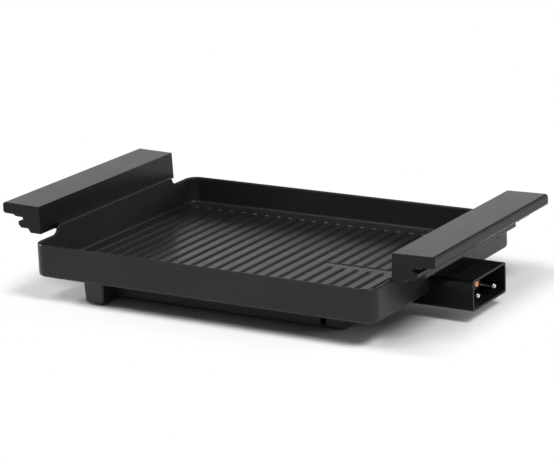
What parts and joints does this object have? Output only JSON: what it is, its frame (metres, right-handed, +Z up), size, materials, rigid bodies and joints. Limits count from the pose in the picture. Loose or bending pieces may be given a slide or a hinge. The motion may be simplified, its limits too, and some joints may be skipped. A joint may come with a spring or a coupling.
{
  "type": "table grill",
  "caption": "Electric table grill: ribbed rectangular pan with raised end walls, a bar handle on each end flange, and a plug-in inlet box under one handle.",
  "frame": {"origin": "on the table, under the centre of the pan", "axes": "+X along the pan to the end with the inlet, +Y across it, +Z up"},
  "size_m": [0.4572, 0.272, 0.0842],
  "materials": {
    "nonstick_coating": "black non-stick coat, semi-gloss with a fine orange peel",
    "handle_phenolic": "black moulded phenolic, satin top",
    "foot_phenolic": "black moulded phenolic, matt",
    "gloss_enamel": "black gloss enamel on sheet steel",
    "cover_paint": "black heat-resistant paint, matt",
    "fastener_steel": "zinc plated",
    "heater_sheath": "heat-tinted stainless sheath",
    "clamp_steel": "pressed sheet",
    "reflector_aluminium": "bright sheet",
    "ceramic": "fired ceramic, matt",
    "nickel_pins": "nickel plated, polished",
    "brass_fittings": "turned",
    "copper_spring": "copper alloy sheet",
    "foot_rubber": "matt"
  },
  "bodies": {
    "root": {"grill_pan": "nonstick_coating", "left_handle": "handle_phenolic", "right_handle": "handle_phenolic", "left_handle_inserts": "brass_fittings", "right_handle_inserts": "brass_fittings", "left_handle_screws": "fastener_steel", "right_handle_screws": "fastener_steel", "left_handle_washers": "fastener_steel", "right_handle_washers": "fastener_steel", "heating_element": "heater_sheath", "element_seals": "ceramic", "element_terminals": "nickel_pins", "element_clamps": "clamp_steel", "clamp_screws": "fastener_steel", "reflector_plate": "reflector_aluminium", "bottom_cover": "cover_paint", "cover_screws": "fastener_steel", "left_foot_bar": "foot_phenolic", "right_foot_bar": "foot_phenolic", "foot_bar_screws": "fastener_steel", "left_rubber_feet": "foot_rubber", "right_rubber_feet": "foot_rubber", "inlet_shroud": "gloss_enamel", "inlet_screws": "fastener_steel", "inlet_insulator": "ceramic", "line_pin": "nickel_pins", "neutral_pin": "nickel_pins", "pin_nuts": "brass_fittings", "line_lead": "copper_spring", "neutral_lead": "copper_spring", "earth_contact": "copper_spring", "probe_guide": "clamp_steel"}
  },
  "joints": []
}
